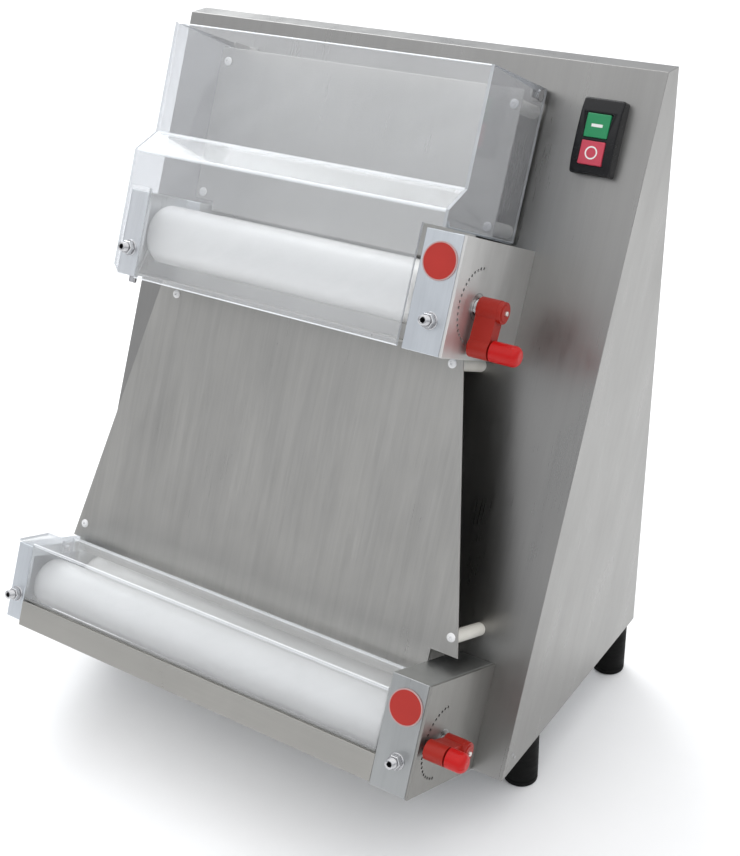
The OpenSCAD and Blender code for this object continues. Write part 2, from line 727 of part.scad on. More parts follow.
module upper_chute() color([0.7, 0.72, 0.73]) panel_frame() difference() {
    foot_u = upper_axis_u + roller_r[UPPER] + 3;
    panel_plate(upper_chute_n, [
        [-188, 480], [left_x[UPPER] + 2, 480], [left_x[UPPER] + 2, foot_u], [right_x[UPPER] - 2, foot_u],
        [right_x[UPPER] - 2, 500], [160.5, 500], [160.5, 636], [-188, 636]
    ]);
    for (p = posts) if (p[2] == upper_chute_n) n_rod(p[0], p[1], p[2] - 1, p[2] + 3, 2.2);
}

module lower_chute() color([0.68, 0.68, 0.66]) panel_frame() difference() {
    panel_plate(lower_chute_n, [
        [left_x[UPPER] + 6, 400], [right_x[UPPER] - 6, 400], [right_x[UPPER] - 6, 387.5], [167, 387.5],
        [228, 117], [right_x[LOWER] - 2, 117], [right_x[LOWER] - 2, 80], [left_x[LOWER] + 2, 80],
        [left_x[LOWER] + 2, 94], [left_x[LOWER] - 8, 94], [-197, 387.5], [left_x[UPPER] + 6, 387.5]
    ]);
    for (p = posts) if (p[2] == lower_chute_n) n_rod(p[0], p[1], p[2] - 1, p[2] + 3, 2.2);
}

module chute_posts() color([0.92, 0.91, 0.88]) panel_frame() for (p = posts) difference() {
    n_rod(p[0], p[1], 0, p[2], post_r);
    n_rod(p[0], p[1], p[2] - 14, p[2] + 1, 2);
}

module chute_screws() color([0.9, 0.9, 0.9]) panel_frame() for (p = posts) {
    n_rod(p[0], p[1], p[2] - 12, p[2] + chute_t, 2 - fit);
    n_rod(p[0], p[1], p[2] + chute_t, p[2] + chute_t + 2, 4.5);
}

module lower_fascia() color([0.66, 0.66, 0.64]) panel_frame() {
    front = block_n[LOWER];
    nu_prism(left_x[LOWER], right_x[LOWER], [
        [front - 12, 28.5], [front, 28.5], [front, 2], [front - 12, 2], [front - 12, 3.5],
        [front - sheet, 3.5], [front - sheet, 27], [front - 12, 27]
    ]);
}

// ---- switch ----

module switch_housing() color([0.06, 0.06, 0.07]) panel_frame() difference() {
    nu_prism(switch_x[0], switch_x[1], [
        [0, switch_u[0]], [12, switch_u[0]], [15, switch_u[0] + 12], [15.8, (switch_u[0] + switch_u[1]) / 2],
        [15, switch_u[1] - 12], [12, switch_u[1]], [0, switch_u[1]]
    ]);
    for (u = [start_u, stop_u])
        nu_box([button_x[0] - 0.5, button_x[1] + 0.5], [5, 20], [u[0] - 0.5, u[1] + 0.5]);
}

module switch_block() color([0.15, 0.15, 0.16]) panel_frame() {
    nu_box([switch_x[0] + 8, switch_x[1] - 8], [-30, 0], [switch_u[0] + 8, switch_u[1] - 8]);
    for (u = [switch_u[0] + 16, switch_u[1] - 24], x = [switch_x[0] + 10, switch_x[1] - 16])
        nu_box([x, x + 6], [-35, -30], [u, u + 8]);
}

module button(u) panel_frame() nu_box(button_x, [8.5, 16.8], u);

module start_button() color([0.1, 0.55, 0.32]) button(start_u);
module stop_button() color([0.8, 0.22, 0.3]) button(stop_u);

// ---- guards ----

// Bent sheet of the upper guard between x0 and x1, down to the height low
module guard_skin(x0, x1, low) {
    t = guard_t;
    drop = (shelf_u[1] - shelf_u[0]) / (shelf_n - guard_n);
    inset = t * (sqrt(1 + drop * drop) - drop);
    nu_prism(x0, x1, [
        [guard_n, guard_top_u], [guard_n, shelf_u[1]], [shelf_n, shelf_u[0]], [shelf_n, low],
        [shelf_n - t, low], [shelf_n - t, shelf_u[0] - inset], [guard_n - t, shelf_u[1] - inset],
        [guard_n - t, guard_top_u]
    ]);
}

module guard_side(x0, low) {
    back = 4.5;
    nu_prism(x0, x0 + guard_t, [
        [back, guard_top_u + 1], [guard_n, guard_top_u], [guard_n, shelf_u[1]], [shelf_n, shelf_u[0]],
        [shelf_n, low + 9], [shelf_n - 9, low], [back, low]
    ]);
}

module upper_guard() color([0.85, 0.9, 0.92, 0.35]) panel_frame() difference() {
    union() {
        guard_skin(guard_left_x, left_x[UPPER] + 1, left_u[UPPER][1] + 4);
        guard_skin(left_x[UPPER] + 1, right_x[UPPER] - 4.5, 390);
        guard_skin(right_x[UPPER] - 4.5, guard_right_x, right_u[UPPER][1] + 3);
        guard_side(guard_left_x, 390);
        guard_side(guard_right_x - guard_t, right_u[UPPER][1] + 3);
    }
    x_rod(guard_left_x - 1, guard_right_x + 1, upper_hinge[0], upper_hinge[1], pin_r);
}

bracket_t = 2.5;

module guard_bracket(x) difference() {
    union() {
        nu_box([x, x + bracket_t], [0, upper_hinge[0] + 7], [upper_hinge[1] - 3.5, upper_hinge[1] + 9]);
        nu_box([x > 0 ? x - 10 : x, x > 0 ? x + bracket_t : x + bracket_t + 10], [0, 2],
            [upper_hinge[1] - 3.5, upper_hinge[1] + 9]);
    }
    x_rod(x - 1, x + bracket_t + 1, upper_hinge[0], upper_hinge[1], pin_r + fit);
}

bracket_x = [guard_left_x + guard_t + 0.6, guard_right_x - guard_t - 0.6 - bracket_t];

module guard_brackets() color([0.65, 0.65, 0.65]) panel_frame() for (x = bracket_x) guard_bracket(x);

module upper_guard_pins() color([0.8, 0.8, 0.8]) panel_frame() {
    n = upper_hinge[0];
    u = upper_hinge[1];
    x_rod(guard_left_x, bracket_x[0] + bracket_t + 1, n, u, pin_r);
    x_rod(guard_left_x - 2, guard_left_x, n, u, 5);
    x_rod(bracket_x[1] - 1, guard_right_x, n, u, pin_r);
    x_rod(guard_right_x, guard_right_x + 2, n, u, 5);
}

// Clear cover over the lower rollers, with an ear at each end for its hinge
module lower_guard() color([0.85, 0.9, 0.92, 0.35]) panel_frame() {
    x0 = left_x[LOWER] + 1;
    x1 = right_x[LOWER] - 1;
    front = block_n[LOWER];
    t = guard_t;
    top = left_u[LOWER][1] + 3.6;
    difference() {
        union() {
            nu_prism(x0, x1, [
                [70, top + 4], [front, top], [front, 30], [front - t, 30],
                [front - t, top - t], [70, top + 4 - t]
            ]);
            nu_prism(left_x[LOWER] - left_t[LOWER], x0, [
                [86, top + 2.9], [front, top], [front, top - t + 0.2], [86, top - t + 2.9]
            ]);
            for (x = [x0, x1 - t]) nu_prism(x, x + t, [
                [69, top + 2], [84, top + 2], [84, lower_hinge[1] - 5], [69, lower_hinge[1] - 5]
            ]);
        }
        x_rod(x0 - 1, x1 + 1, lower_hinge[0], lower_hinge[1], pin_r);
    }
}

module lower_guard_pins() color([0.8, 0.8, 0.8]) panel_frame() {
    x_rod(left_x[LOWER] - 8, left_x[LOWER] + guard_t + 2, lower_hinge[0], lower_hinge[1], pin_r);
    x_rod(right_x[LOWER] - guard_t - 2, right_x[LOWER] + plate_t, lower_hinge[0], lower_hinge[1], pin_r);
}

// ---- assembly ----

housing_shell();
rear_cover();
base_plate();
feet();
housing_screws();
cable_gland();
motor();
gearbox();
motor_bracket();
run_capacitor();
motor_belt();
upper_belt();
lower_belt();
layshaft_bracket();
upper_left_block();
lower_left_block();
upper_drive_case();
lower_drive_case();
inner_plates();
index_plates();
gap_bushes();
roller_bearings();
adjuster_screws();
marker_discs();
rear_scrapers();
lower_fascia();
upper_chute();
lower_chute();
chute_posts();
chute_screws();
switch_housing();
switch_block();
guard_brackets();
upper_rear_roller();
upper_rear_shaft();
upper_rear_gear();
lower_rear_roller();
lower_rear_shaft();
lower_rear_gear();
upper_front_roller();
upper_front_gear();
lower_front_roller();
lower_front_gear();
upper_gap_shaft();
upper_lever();
lower_gap_shaft();
lower_lever();
upper_knob();
lower_knob();
upper_front_scraper();
lower_front_scraper();
layshaft();
drive_shaft();
start_button();
stop_button();
upper_guard();
upper_guard_pins();
lower_guard();
lower_guard_pins();
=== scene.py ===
"""The looks of the bench dough sheeter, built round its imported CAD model. Metres, in the row frame."""

import json
import math

import bmesh
import bpy
from mathutils import Matrix, Vector


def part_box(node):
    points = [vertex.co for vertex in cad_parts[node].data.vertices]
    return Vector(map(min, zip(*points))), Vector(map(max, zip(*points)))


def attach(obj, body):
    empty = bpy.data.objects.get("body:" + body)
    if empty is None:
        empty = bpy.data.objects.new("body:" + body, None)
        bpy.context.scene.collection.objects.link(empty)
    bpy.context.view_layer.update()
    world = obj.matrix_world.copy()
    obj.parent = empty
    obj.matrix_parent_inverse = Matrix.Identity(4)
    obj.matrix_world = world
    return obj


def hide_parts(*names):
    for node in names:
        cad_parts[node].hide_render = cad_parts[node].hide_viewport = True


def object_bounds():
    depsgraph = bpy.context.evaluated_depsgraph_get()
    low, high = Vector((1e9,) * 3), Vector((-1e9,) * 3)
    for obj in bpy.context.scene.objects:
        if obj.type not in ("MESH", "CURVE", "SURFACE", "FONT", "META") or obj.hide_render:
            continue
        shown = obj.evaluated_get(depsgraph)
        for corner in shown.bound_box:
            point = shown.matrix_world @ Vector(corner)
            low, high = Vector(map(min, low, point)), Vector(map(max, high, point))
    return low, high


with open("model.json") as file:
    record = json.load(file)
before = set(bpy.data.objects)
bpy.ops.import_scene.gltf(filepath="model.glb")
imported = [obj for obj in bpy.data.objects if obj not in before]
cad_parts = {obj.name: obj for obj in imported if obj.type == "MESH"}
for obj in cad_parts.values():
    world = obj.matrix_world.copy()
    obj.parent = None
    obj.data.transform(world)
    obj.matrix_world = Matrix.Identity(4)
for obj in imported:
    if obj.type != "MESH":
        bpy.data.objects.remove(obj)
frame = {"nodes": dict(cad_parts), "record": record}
cad_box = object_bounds()

MM = 0.001
LEAN = math.atan2(280, 613)  # the panel leans back by 280 mm over its height of 613 mm
WELD = 1e-6  # points nearer than this are one point
FLAT = math.radians(0.4)  # faces that meet at less than this are one flat face
CORNER = math.radians(25)  # edges sharper than this can be rounded
NODES = frame["nodes"]
SLOT_OF = {s["node"]: s["material_slot"] for s in frame["record"]["subparts"]}
BODY_OF = {n: b for b, nodes in frame["record"]["behaviour"]["bodies"].items() for n in nodes}

# ---- the panel's own frame: x across, n out of the panel, u up the slope ----

low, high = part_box("housing_shell")
ORIGIN = Vector(((low.x + high.x) / 2, low.y, low.z))
ACROSS = Vector((1, 0, 0))
OUT = Vector((0, -math.cos(LEAN), math.sin(LEAN)))
UP = Vector((0, math.sin(LEAN), math.cos(LEAN)))


def panel_box(node, island=None):
    """Limits of a node in panel coordinates, as ((x0, x1), (n0, n1), (u0, u1)) in metres."""
    points = island or [v.co for v in NODES[node].data.vertices]
    out = []
    for axis in (ACROSS, OUT, UP):
        values = [(p - ORIGIN).dot(axis) for p in points]
        out.append((min(values), max(values)))
    return out


def islands(node):
    """The points of each separate solid of a node."""
    bm = bmesh.new()
    bm.from_mesh(NODES[node].data)
    bmesh.ops.remove_doubles(bm, verts=bm.verts, dist=WELD)
    seen, found = set(), []
    for start in bm.verts:
        if start in seen:
            continue
        group, todo = [], [start]
        seen.add(start)
        while todo:
            v = todo.pop()
            group.append(v.co.copy())
            for e in v.link_edges:
                other = e.other_vert(v)
                if other not in seen:
                    seen.add(other)
                    todo.append(other)
        found.append(group)
    bm.free()
    return found


# ---- materials ----


class Nodes:
    """A material's node tree, with short calls to add nodes and to join them."""

    def __init__(self, name):
        self.material = bpy.data.materials.new(name)
        self.material.use_nodes = True
        self.tree = self.material.node_tree
        self.tree.nodes.clear()
        self.out = self.tree.nodes.new("ShaderNodeOutputMaterial")
        self.coords = self.tree.nodes.new("ShaderNodeTexCoord").outputs["Object"]

    def add(self, kind, inputs=None, **settings):
        node = self.tree.nodes.new("ShaderNode" + kind)
        for k, v in settings.items():
            setattr(node, k, v)
        for k, v in (inputs or {}).items():
            if isinstance(v, bpy.types.NodeSocket):
                self.tree.links.new(v, node.inputs[k])
            else:
                node.inputs[k].default_value = v
        return node

    def mapped(self, scale, turn=(0, 0, 0)):
        turned = self.add("Mapping", {"Vector": self.coords, "Rotation": turn}).outputs["Vector"]
        return self.add("Mapping", {"Vector": turned, "Scale": scale}).outputs["Vector"]

    def noise(self, vector, scale, detail=3.0, rough=0.55):
        return self.add("TexNoise", {
            "Vector": vector, "Scale": scale, "Detail": detail, "Roughness": rough
        }).outputs["Fac"]

    def spread(self, value, low, high, start=0.3, end=0.7):
        return self.add("MapRange", {
            "Value": value, "From Min": start, "From Max": end, "To Min": low, "To Max": high
        }).outputs["Result"]

    def mix(self, factor, a, b):
        return self.add("MixRGB", {"Fac": factor, "Color1": a, "Color2": b}).outputs["Color"]

    def maths(self, operation, a, b):
        return self.add("Math", {0: a, 1: b}, operation=operation).outputs["Value"]

    def bump(self, height, strength, distance):
        return self.add("Bump", {
            "Height": height, "Strength": strength, "Distance": distance
        }).outputs["Normal"]

    def principled(self, inputs):
        return self.add("BsdfPrincipled", inputs).outputs["BSDF"]

    def done(self, shader):
        self.tree.links.new(shader, self.out.inputs["Surface"])
        return self.material


def tone(colour, factor):
    return tuple(min(1.0, c * factor) for c in colour) + (1.0,)


def brushed(name, colour, rough, grain=(1, 1, 0.02), turn=(0, 0, 0), strength=0.12, cloud=0.05):
    """Metal with a directed grain: the grain runs along the axis with the small scale, after the turn."""
    m = Nodes(name)
    streaks = m.noise(m.mapped(grain, turn), scale=900, detail=4.0, rough=0.7)
    broad = m.noise(m.mapped(grain, turn), scale=130, detail=2.0)
    patches = m.noise(m.coords, scale=7)
    wiped = m.noise(m.mapped((1, 1, 0.3), turn), scale=22, detail=5.0, rough=0.65)
    shade = m.maths("ADD", m.spread(streaks, -0.5, 0.5), m.spread(broad, -0.5, 0.5))
    shade = m.maths("ADD", shade, m.spread(patches, -0.6, 0.6))
    tint = m.mix(m.spread(shade, 0, 1, -1.2, 1.2), tone(colour, 1 - cloud), tone(colour, 1 + cloud))
    roughness = m.maths("ADD", m.spread(wiped, rough * 0.78, rough * 1.2), m.spread(streaks, -0.03, 0.05))
    return m.done(m.principled({
        "Base Color": tint, "Roughness": roughness, "Metallic": 1.0,
        "Normal": m.bump(streaks, strength, 0.12 * MM),
    }))


def plastic(name, colour, rough=0.35, grain=900.0, strength=0.08, coat=0.0, cloud=0.06, ior=1.46):
    """Moulded plastic, rubber or enamel: a fine skin, faint clouds in the colour, and handling marks."""
    m = Nodes(name)
    skin = m.noise(m.coords, scale=grain, detail=2.0)
    clouds = m.noise(m.coords, scale=28, detail=4.0)
    scuffs = m.noise(m.mapped((1, 1, 4)), scale=65, detail=6.0, rough=0.7)
    tint = m.mix(m.spread(clouds, 0, 1), tone(colour, 1 - cloud), tone(colour, 1 + cloud))
    return m.done(m.principled({
        "Base Color": tint, "Roughness": m.spread(scuffs, rough * 0.8, min(1.0, rough * 1.25)),
        "IOR": ior, "Coat Weight": coat, "Coat Roughness": 0.08,
        "Normal": m.bump(skin, strength, 0.2 * MM),
    }))


def turned(name, colour, rough, metallic, wave, strength):
    """A surface turned on a lathe about an axis along x. Its faint rings are 2 pi times wave mm apart."""
    m = Nodes(name)
    one_radian = 0.05  # at this scale the wave texture turns by one radian per unit of length
    rings = m.add("TexWave", {
        "Vector": m.coords, "Scale": one_radian / (wave * MM), "Distortion": 0.6,
        "Detail": 2.0, "Detail Scale": 3.0
    }, wave_type="BANDS", bands_direction="X").outputs["Fac"]
    clouds = m.noise(m.coords, scale=18, detail=4.0)
    marks = m.noise(m.mapped((6, 1, 1)), scale=60, detail=5.0, rough=0.7)
    tint = m.mix(m.spread(clouds, 0, 1), tone(colour, 0.955), tone(colour, 1.03))
    return m.done(m.principled({
        "Base Color": tint, "Metallic": metallic, "Roughness": m.spread(marks, rough * 0.8, rough * 1.3),
        "Normal": m.bump(rings, strength, 0.08 * MM),
    }))


def clear_sheet(name, veil, rough, colour):
    """Clear plastic: a see-through body under a glossy skin, with a diffuse film that is partly wipe marks
    and dust, partly a painted veil of reflection.
    """
    m = Nodes(name)
    wipes = m.noise(m.mapped((1, 1, 5), (0, 0.5, 0.2)), scale=9, detail=6.0, rough=0.6)
    dust = m.spread(m.noise(m.coords, scale=420, detail=2.0), 0, 0.02, start=0.62, end=0.75)
    # the diffuse film: wipe marks and dust, and a painted veil of reflection
    dust_and_sheen = m.maths("ADD", m.spread(wipes, veil * 0.85, veil * 1.17), dust)
    facing = m.add("LayerWeight", {"Blend": 0.5}).outputs["Facing"]
    mirror = m.spread(m.maths("POWER", facing, 5.0), 0.045, 0.8, start=0.0, end=1.0)
    skin = m.add("BsdfDiffuse", {"Color": tone(colour, 1)}).outputs["BSDF"]
    through = m.add("BsdfTransparent", {"Color": tone(colour, 1.06)}).outputs["BSDF"]
    gloss = m.add("BsdfGlossy", {
        "Color": (1, 1, 1, 1), "Roughness": rough, "Normal": m.bump(wipes, 0.04, 2 * MM)
    }).outputs["BSDF"]
    body = m.add("MixShader", {0: dust_and_sheen, 1: through, 2: skin}).outputs["Shader"]
    return m.done(m.add("MixShader", {0: mirror, 1: body, 2: gloss}).outputs["Shader"])


ALONG_SLOPE = (LEAN, 0, 0)
GRAIN_X = (0.02, 1, 1)


def sheet_steel(name, colour, rough, strength=0.12, cloud=0.05):
    """Brushed sheet with its grain up the slope."""
    return brushed(name, colour, rough, turn=ALONG_SLOPE, strength=strength, cloud=cloud)


def milled_alloy(name, colour, rough):
    """Milled alloy of the end blocks and drive cases, with a short grain up the slope."""
    return brushed(name, colour, rough, (1, 1, 0.05), ALONG_SLOPE, strength=0.2, cloud=0.07)


MATERIALS = {
    "brushed_stainless": sheet_steel("housing_steel", (0.315, 0.31, 0.30), 0.32),
    "plate_stainless": sheet_steel("sheet_steel", (0.46, 0.452, 0.432), 0.35, cloud=0.08),
    "base_steel": brushed("base_steel", (0.42, 0.43, 0.44), 0.45, GRAIN_X, strength=0.15),
    "foot_rubber": plastic("foot_rubber", (0.003, 0.003, 0.0028), 0.62, 700, 0.25, ior=1.22),
    "bright_fixings": turned("bright_fixings", (0.52, 0.52, 0.53), 0.24, 1.0, 0.5, 0.2),
    "gland_nylon": plastic("gland_nylon", (0.03, 0.03, 0.031), 0.48, 800, 0.15),
    "motor_paint": plastic("motor_paint", (0.12, 0.16, 0.22), 0.4, 300, 0.2, coat=0.3),
    "gearbox_alloy": brushed("gearbox_alloy", (0.5, 0.51, 0.52), 0.5, (1, 1, 1), strength=0.6),
    "capacitor_shell": plastic("capacitor_shell", (0.75, 0.75, 0.72), 0.35),
    "green_belt": plastic("belt_green", (0.02, 0.25, 0.09), 0.42, 600, 0.15),
    "block_alloy": milled_alloy("block_alloy", (0.60, 0.63, 0.66), 0.34),
    "bush_bronze": turned("bush_bronze", (0.6, 0.42, 0.2), 0.35, 1.0, 0.4, 0.2),
    "red_disc": plastic("disc_red", (0.40, 0.027, 0.02), 0.42, 500, 0.1, ior=1.36),
    "white_nylon": plastic("nylon_white", (0.72, 0.70, 0.64), 0.42, 500, 0.1),
    "white_screw": plastic("screw_white", (0.78, 0.78, 0.78), 0.28),
    "white_acetal": turned("acetal_white", (0.86, 0.855, 0.84), 0.34, 0.0, 0.8, 0.08),
    "shaft_steel": turned("shaft_steel", (0.62, 0.62, 0.63), 0.22, 1.0, 0.4, 0.2),
    "red_lever": plastic("lever_red", (0.31, 0.013, 0.006), 0.38, 420, 0.1, ior=1.34),
    "red_knob": plastic("knob_red", (0.45, 0.006, 0.006), 0.3, 420, 0.06, ior=1.32),
    "switch_black": plastic("switch_black", (0.006, 0.006, 0.007), 0.24, 900, 0.04, coat=0.12, ior=1.34),
    "start_green": plastic("start_green", (0.012, 0.24, 0.09), 0.36, 500, 0.1),
    "stop_red": plastic("stop_red", (0.52, 0.05, 0.085), 0.36, 500, 0.1),
    "clear_guard": clear_sheet("guard_clear", 0.15, 0.07, (0.895, 0.90, 0.905)),
}
FASCIA_STEEL = brushed("fascia_steel", (0.40, 0.39, 0.365), 0.34, GRAIN_X, strength=0.35)
GUARD_EDGE = clear_sheet("guard_edge", 0.62, 0.22, (0.60, 0.62, 0.64))
GUARD_SIDE = clear_sheet("guard_side", 0.12, 0.07, (0.82, 0.825, 0.835))
# near-white film along the guards' folds and long edges: a painted highlight
GUARD_FOLD_HIGHLIGHT = clear_sheet("guard_fold_painted_highlight", 0.75, 0.25, (0.90, 0.92, 0.94))
# dark film along the lower guard's low edge: painted shade of the gap beneath it
GUARD_LIP_SHADE = clear_sheet("guard_lip_painted_shade", 0.85, 0.3, (0.13, 0.13, 0.12))
MARK_WHITE = plastic("mark_white", (0.8, 0.8, 0.78), 0.4)
# near-black film in screw sockets and bores: painted shade in the recesses
SOCKET_SHADE = plastic("socket_painted_shade", (0.02, 0.02, 0.022), 0.5)
DISC_RIM = plastic("disc_rim", (0.46, 0.30, 0.29), 0.4, 500, 0.1)
INNER_STEEL = sheet_steel("inner_steel", (0.40, 0.40, 0.40), 0.42)
PIN_STEEL = turned("pin_steel", (0.66, 0.65, 0.62), 0.3, 1.0, 0.4, 0.15)

# Copies by stage: lower drive case, lower plate and lower chute darker as painted shade; upper block, upper
# plate and lower rollers lighter as painted light
LOWER_ALLOY_SHADE = milled_alloy("lower_block_alloy_painted_shade", (0.40, 0.41, 0.41), 0.36)
LOWER_PLATE_SHADE = sheet_steel("lower_index_steel_painted_shade", (0.30, 0.295, 0.28), 0.46, 0.16)
UPPER_PLATE_LIT = sheet_steel("upper_index_steel_painted_light", (0.66, 0.655, 0.64), 0.45, 0.16)
UPPER_BLOCK_LIT = milled_alloy("upper_block_alloy_painted_light", (0.72, 0.74, 0.76), 0.34)
LOWER_CHUTE_SHADE = sheet_steel("lower_chute_steel_painted_shade", (0.42, 0.412, 0.392), 0.35, cloud=0.1)
LOWER_ROLLER_LIT = turned("lower_acetal_white_painted_light", (0.92, 0.915, 0.90), 0.34, 0.0, 0.8, 0.08)

OWN_MATERIAL = {
    "lower_fascia": FASCIA_STEEL, "rear_scrapers": INNER_STEEL, "lower_drive_case": LOWER_ALLOY_SHADE,
    "lower_front_roller": LOWER_ROLLER_LIT, "lower_rear_roller": LOWER_ROLLER_LIT, "upper_left_block": UPPER_BLOCK_LIT,
    "lower_chute": LOWER_CHUTE_SHADE,
}
for name, thing in NODES.items():
    thing.data.materials.clear()
    thing.data.materials.append(OWN_MATERIAL.get(name) or MATERIALS[SLOT_OF[name]])

# ---- pieces ----


def make_object(name, bm, materials, node, replace=True, smooth=35.0):
    """Turns a bmesh into a piece that rides with a CAD node, and stands for it unless replace is False."""
    mesh = bpy.data.meshes.new(name)
    bmesh.ops.recalc_face_normals(bm, faces=bm.faces)
    bm.to_mesh(mesh)
    bm.free()
    for material in materials:
        mesh.materials.append(material)
    mesh.polygons.foreach_set("use_smooth", [True] * len(mesh.polygons))
    mesh.set_sharp_from_angle(angle=math.radians(smooth))
    piece = bpy.data.objects.new(name, mesh)
    bpy.context.scene.collection.objects.link(piece)
    even = piece.modifiers.new("even_shading", "WEIGHTED_NORMAL")
    even.weight, even.keep_sharp = 90, True
    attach(piece, BODY_OF[node])
    if replace:
        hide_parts(node)
    return piece


def clean_copy(node):
    """The node's mesh with its flat faces whole again, so that edges can be rounded."""
    bm = bmesh.new()
    bm.from_mesh(NODES[node].data)
    bmesh.ops.remove_doubles(bm, verts=bm.verts, dist=WELD)
    bmesh.ops.dissolve_limit(bm, angle_limit=FLAT, verts=bm.verts, edges=bm.edges)
    return bm


def round_edges(bm, radius, shortest, segments=2, only=None):
    """Rounds the edges that are longer than shortest: both it and the radius are in mm."""
    edges = [
        e for e in bm.edges
        if e.is_manifold and e.calc_length() > shortest * MM and e.calc_face_angle(0) > CORNER
        and (only is None or only(e))
    ]
    bmesh.ops.bevel(
        bm, geom=edges, offset=radius * MM, segments=segments, profile=0.5, affect="EDGES",
        clamp_overlap=True,
    )


def rounded(node, radius, shortest, paint=None, materials=None):
    """A copy of a node with its long edges rounded, in place of the node."""
    bm = clean_copy(node)
    round_edges(bm, radius, shortest)
    if paint:
        paint(bm)
    own = materials or [NODES[node].data.materials[0]]
    return make_object(node + "_finished", bm, own, node)


# The clear guards' materials, and their places in that list
GUARD_LOOKS = [MATERIALS["clear_guard"], GUARD_EDGE, GUARD_SIDE, GUARD_FOLD_HIGHLIGHT, GUARD_LIP_SHADE]
_, EDGE, SIDE, FOLD_HIGHLIGHT, LIP_SHADE = range(len(GUARD_LOOKS))
NARROW = 4.5 * MM  # faces narrower than this are edges and folds


def paint_sheet_edges(bm, shaded_below):
    """Gives a clear sheet's narrow faces the look of sawn edges, a painted highlight along folds or, low
    down, painted shade along the lip.
    """
    for face in bm.faces:
        longest = max(face.edges, key=lambda e: e.calc_length())
        length = longest.calc_length()
        if face.calc_area() / length > NARROW:
            continue
        run = longest.verts[0].co - longest.verts[1].co
        if abs(run.dot(ACROSS)) < 0.9 * length:
            face.material_index = EDGE
        elif (face.calc_center_median() - ORIGIN).dot(UP) < shaded_below:
            # painted shade along the low lip
            face.material_index = LIP_SHADE
        else:
            # painted highlight along a fold or long edge
            face.material_index = FOLD_HIGHLIGHT


def paint_lower_stage_shade(bm):
    """Gives the lower stage's part of a node the second material, a darker copy that is painted shade."""
    between_stages = 200 * MM
    for face in bm.faces:
        if (face.calc_center_median() - ORIGIN).dot(UP) < between_stages:
            face.material_index = 1


def guard_sheets(node, side_t, lip=0.0):
    """A guard as its separate glued sheets: the bent front sheet, and side sheets if it has them.

    The side sheets are side_t mm thick, and the lowest lip mm of the front sheet's edge get painted shade."""
    (x0, x1), _, (u0, _) = panel_box(node)
    marks = [x0, x0 + side_t * MM, x1 - side_t * MM, x1] if side_t else [x0, x1]
    sheets = bmesh.new()
    for k in range(len(marks) - 1):
        bm = clean_copy(node)
        for x, keep_above in ((marks[k], True), (marks[k + 1], False)):
            if x in (x0, x1):
                continue
            cut = bmesh.ops.bisect_plane(
                bm, geom=bm.verts[:] + bm.edges[:] + bm.faces[:], dist=WELD / 10,
                plane_co=ORIGIN + ACROSS * x, plane_no=ACROSS,
                clear_inner=keep_above, clear_outer=not keep_above,
            )["geom_cut"]
            rim = [e for e in cut if isinstance(e, bmesh.types.BMEdge)]
            bmesh.ops.triangle_fill(bm, edges=rim, use_beauty=True)
        bmesh.ops.recalc_face_normals(bm, faces=bm.faces)
        bmesh.ops.dissolve_limit(bm, angle_limit=FLAT, verts=bm.verts, edges=bm.edges)
        round_edges(bm, 1.2, shortest=120, segments=3)
        round_edges(bm, 0.4, shortest=5, segments=1)
        mesh = bpy.data.meshes.new(node + "_sheet")
        bm.to_mesh(mesh)
        bm.free()
        sheets.from_mesh(mesh)
        bpy.data.meshes.remove(mesh)
    for face in sheets.faces:
        x = (face.calc_center_median() - ORIGIN).dot(ACROSS)
        if min(x - x0, x1 - x) < (side_t + 0.1) * MM:
            face.material_index = SIDE
    paint_sheet_edges(sheets, u0 + lip * MM)
    make_object(node + "_sheets", sheets, GUARD_LOOKS, node)


def paint_disc_rim(bm):
    """Gives a disc's lower step the second material: it's the part that doesn't reach the disc's front."""
    fronts = {}
    for stage in islands("marker_discs"):
        (x0, x1), (n0, n1), (u0, u1) = panel_box("marker_discs", stage)
        fronts[n1] = ((u0 + u1) / 2, n1)
    for face in bm.faces:
        middle = face.calc_center_median() - ORIGIN
        u, n = middle.dot(UP), middle.dot(OUT)
        front = min(fronts.values(), key=lambda f: abs(f[0] - u))[1]
        face.material_index = 1 if n < front - 0.3 * MM else 0


# Solids made by turning an outline, placed in the panel's frame or the row's

def out_of_panel(x, n, u):
    """Frame whose z axis stands out of the panel at a point given in panel metres."""
    at = ORIGIN + ACROSS * x + OUT * n + UP * u
    return Matrix.Translation(at) @ Matrix((ACROSS, UP, OUT)).transposed().to_4x4()


def along_row_x(x, n, u):
    """Frame whose z axis points along the row's x axis."""
    at = ORIGIN + ACROSS * x + OUT * n + UP * u
    return Matrix.Translation(at) @ Matrix((UP, OUT, ACROSS)).transposed().to_4x4()


def upright(x, y, z):
    return Matrix.Translation((x, y, z))


def to_the_back(x, y, z):
    return Matrix.Translation((x, y, z)) @ Matrix.Rotation(-math.pi / 2, 4, "X")


def turned_solid(bm, where, outline, steps=32, ring=False, paint=(), ripple=(), depth=0.0):
    """Turns an outline of (radius, height) points in mm about the frame's z axis.

    A ring has an outline that never touches the axis. The outline's parts whose numbers are in paint
    get the second material, and its points in ripple have every other step cut back by depth."""
    rows = []
    for k, (r, z) in enumerate(outline):
        if r == 0:
            rows.append([bm.verts.new(where @ Vector((0, 0, z * MM)))])
            continue
        row = []
        for i in range(steps):
            own = r - depth if k in ripple and i % 2 else r
            a = 2 * math.pi * i / steps
            row.append(bm.verts.new(where @ (Vector((own * math.cos(a), own * math.sin(a), z)) * MM)))
        rows.append(row)
    pairs = list(zip(rows, rows[1:])) + ([(rows[-1], rows[0])] if ring else [])
    for k, (a, b) in enumerate(pairs):
        for i in range(steps):
            j = (i + 1) % steps
            corners = [a[i % len(a)], a[j % len(a)], b[j % len(b)], b[i % len(b)]]
            face = bm.faces.new(list(dict.fromkeys(corners)))
            face.material_index = 1 if k in paint else 0


